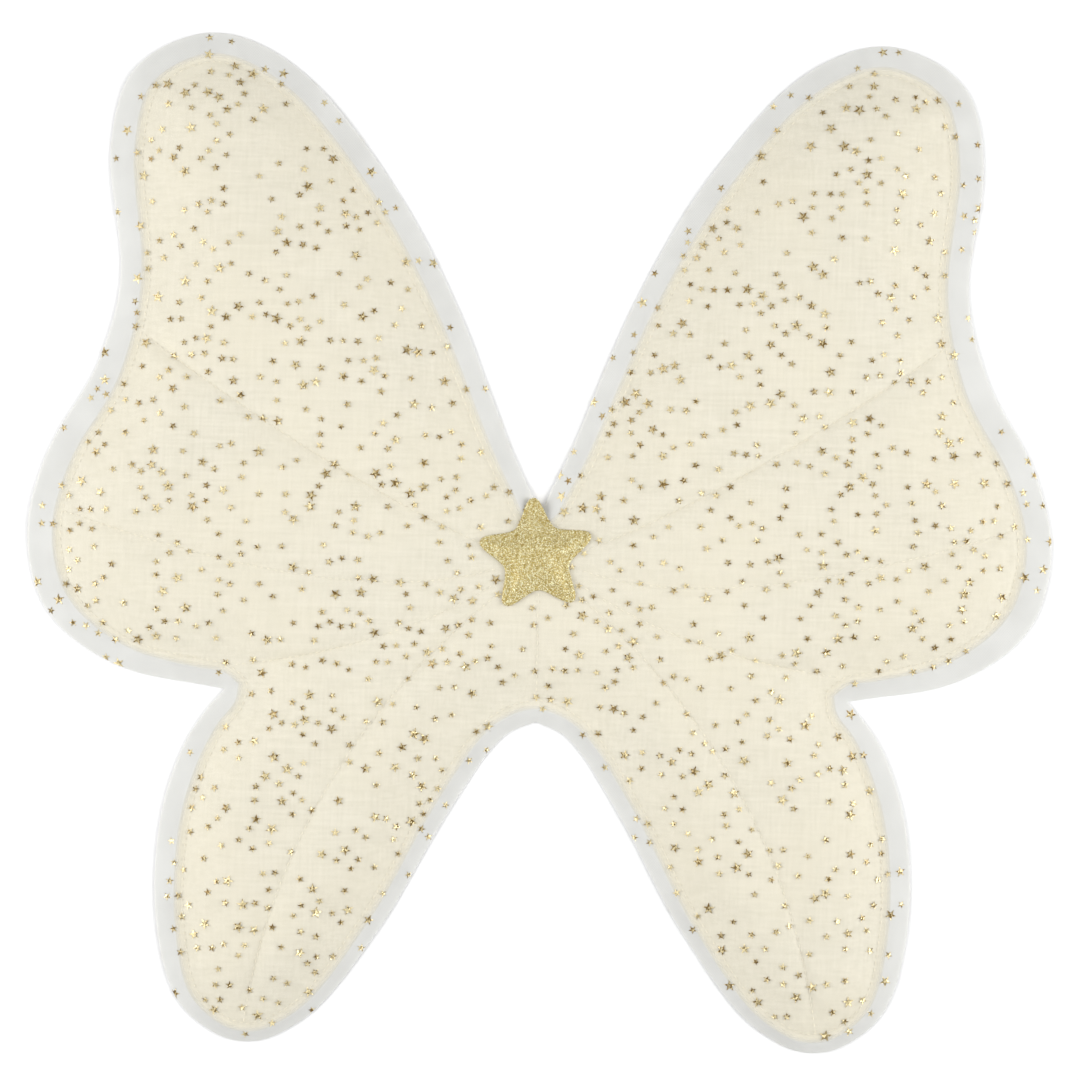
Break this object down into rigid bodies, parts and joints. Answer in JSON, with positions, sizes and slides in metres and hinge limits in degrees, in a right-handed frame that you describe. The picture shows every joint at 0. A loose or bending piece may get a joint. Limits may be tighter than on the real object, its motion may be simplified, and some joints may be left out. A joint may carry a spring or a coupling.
{
  "type": "quilted costume wings",
  "caption": "Child's quilted butterfly costume wings: padded cotton under star-printed tulle with a sheer border, a stuffed glitter star at the middle and elastics for the shoulders behind.",
  "frame": {"origin": "under the middle of the wings' outline, on the surface that they lie on", "axes": "+Z out of the front of the wings, +Y towards the upper tips, +X across the span"},
  "size_m": [0.4996, 0.4908, 0.0146],
  "materials": {
    "cotton": "plain woven cream cotton over wadding",
    "tulle": "sheer white tulle printed with small gold foil stars",
    "glitter": "gold glitter cloth",
    "elastic": "woven flat elastic"
  },
  "bodies": {
    "root": {"quilted_pad": "cotton", "tulle_front": "tulle", "tulle_back": "tulle", "glitter_star": "glitter", "shoulder_strap_left": "elastic", "shoulder_strap_right": "elastic"}
  },
  "joints": []
}
